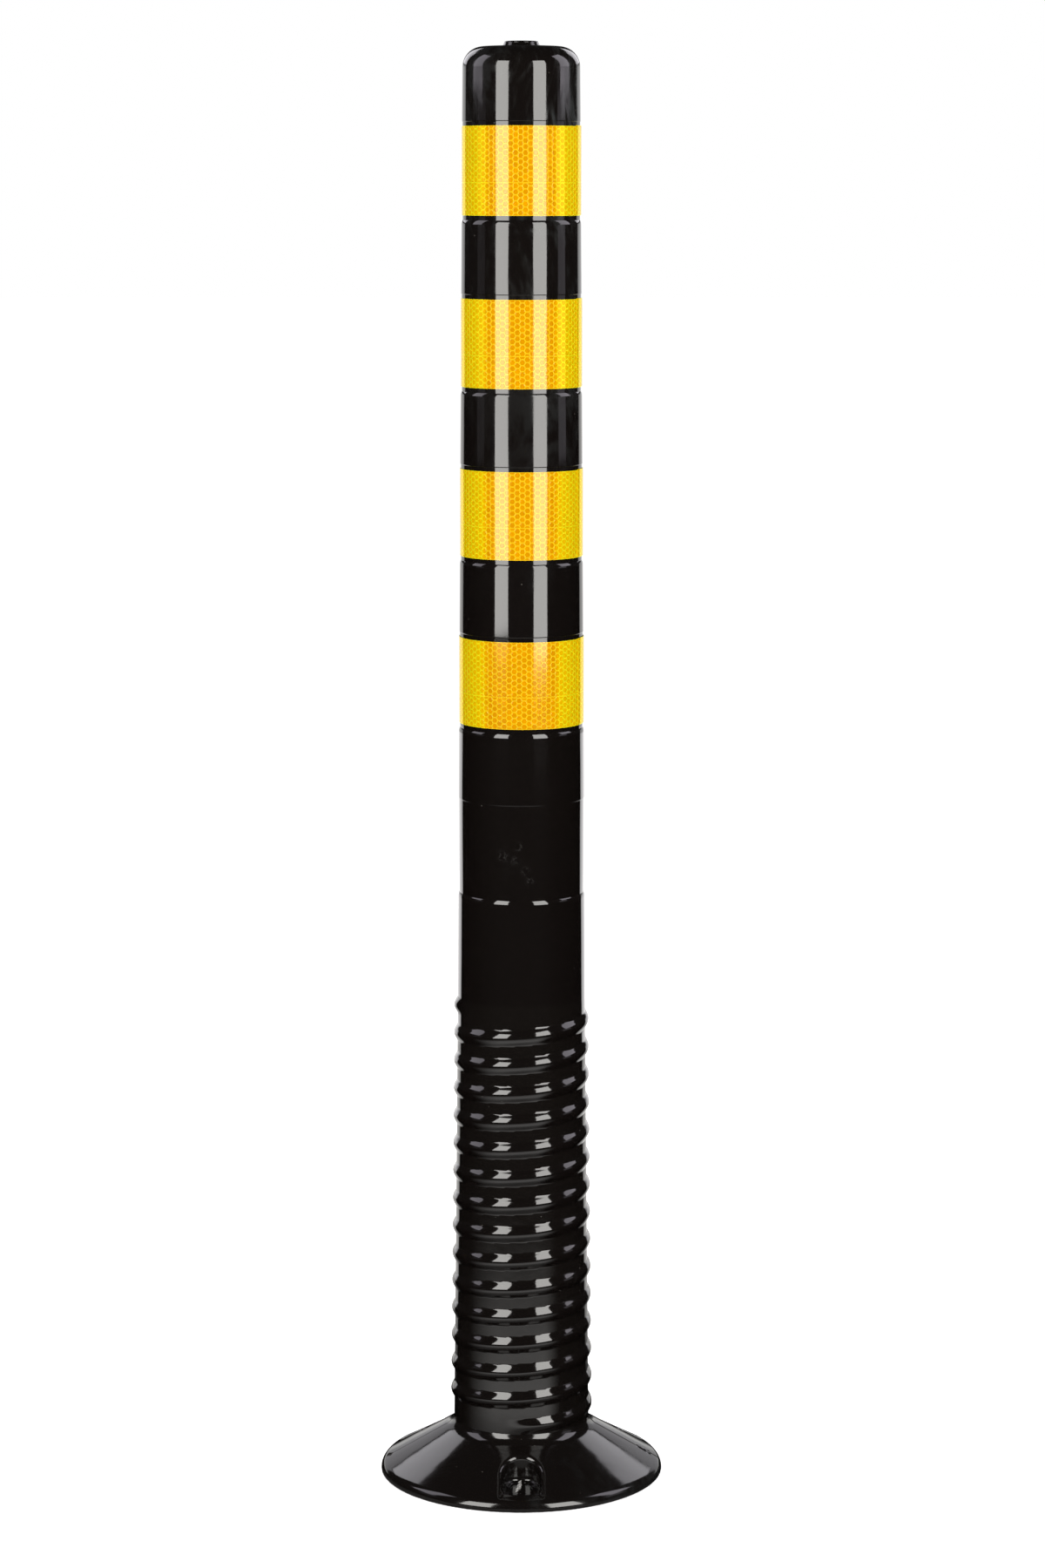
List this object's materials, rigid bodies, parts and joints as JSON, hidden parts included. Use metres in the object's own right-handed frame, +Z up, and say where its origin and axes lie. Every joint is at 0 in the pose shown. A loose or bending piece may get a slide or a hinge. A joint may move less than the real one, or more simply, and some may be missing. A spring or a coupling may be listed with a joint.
{
  "type": "delineator post",
  "caption": "Flexible round traffic post on a flanged base with anchor pockets, a helically ribbed bending zone, reflective bands in recesses and a plugged top.",
  "frame": {"origin": "centre of the base's underside, on the ground", "axes": "+Z up along the post, -Y towards the front anchor pocket, +X to the right"},
  "size_m": [0.2, 0.2, 1.003],
  "materials": {
    "moulding": "glossy",
    "reflective_film": "glossy",
    "plug": "glossy"
  },
  "bodies": {
    "base": {"base_flange": "moulding"},
    "flex_1": {"flex_section_1": "moulding"},
    "flex_2": {"flex_section_2": "moulding"},
    "flex_3": {"flex_section_3": "moulding"},
    "flex_4": {"flex_section_4": "moulding"},
    "flex_5": {"flex_section_5": "moulding"},
    "flex_6": {"flex_section_6": "moulding"},
    "flex_7": {"flex_section_7": "moulding"},
    "post": {"post_tube": "moulding", "top_plug": "plug", "reflective_band_1": "reflective_film", "reflective_band_2": "reflective_film", "reflective_band_3": "reflective_film", "reflective_band_4": "reflective_film"}
  },
  "joints": [
    {"name": "bend_1", "type": "hinge", "parent": "base", "child": "flex_1", "pos_m": [0, 0, 0.03952], "axis": [-1, 0, 0], "range_deg": [-6.43, 6.43], "stiffness_Nm_per_rad": 800, "deforming": ["flex_section_1"]},
    {"name": "bend_2", "type": "hinge", "parent": "flex_1", "child": "flex_2", "pos_m": [0, 0, 0.08309], "axis": [-1, 0, 0], "range_deg": [-12.86, 12.86], "stiffness_Nm_per_rad": 400, "deforming": ["flex_section_2"]},
    {"name": "bend_3", "type": "hinge", "parent": "flex_2", "child": "flex_3", "pos_m": [0, 0, 0.12666], "axis": [-1, 0, 0], "range_deg": [-12.86, 12.86], "stiffness_Nm_per_rad": 400, "deforming": ["flex_section_3"]},
    {"name": "bend_4", "type": "hinge", "parent": "flex_3", "child": "flex_4", "pos_m": [0, 0, 0.17024], "axis": [-1, 0, 0], "range_deg": [-12.86, 12.86], "stiffness_Nm_per_rad": 400, "deforming": ["flex_section_4"]},
    {"name": "bend_5", "type": "hinge", "parent": "flex_4", "child": "flex_5", "pos_m": [0, 0, 0.21381], "axis": [-1, 0, 0], "range_deg": [-12.86, 12.86], "stiffness_Nm_per_rad": 400, "deforming": ["flex_section_5"]},
    {"name": "bend_6", "type": "hinge", "parent": "flex_5", "child": "flex_6", "pos_m": [0, 0, 0.25738], "axis": [-1, 0, 0], "range_deg": [-12.86, 12.86], "stiffness_Nm_per_rad": 400, "deforming": ["flex_section_6"]},
    {"name": "bend_7", "type": "hinge", "parent": "flex_6", "child": "flex_7", "pos_m": [0, 0, 0.30095], "axis": [-1, 0, 0], "range_deg": [-12.86, 12.86], "stiffness_Nm_per_rad": 400, "deforming": ["flex_section_7"]},
    {"name": "bend_8", "type": "hinge", "parent": "flex_7", "child": "post", "pos_m": [0, 0, 0.34452], "axis": [-1, 0, 0], "range_deg": [-6.43, 6.43], "stiffness_Nm_per_rad": 800}
  ],
  "couplings": [
    {"joint": "bend_1", "follows": "bend_2", "ratio": 0.5},
    {"joint": "bend_3", "follows": "bend_2", "ratio": 1},
    {"joint": "bend_4", "follows": "bend_2", "ratio": 1},
    {"joint": "bend_5", "follows": "bend_2", "ratio": 1},
    {"joint": "bend_6", "follows": "bend_2", "ratio": 1},
    {"joint": "bend_7", "follows": "bend_2", "ratio": 1},
    {"joint": "bend_8", "follows": "bend_2", "ratio": 0.5}
  ]
}
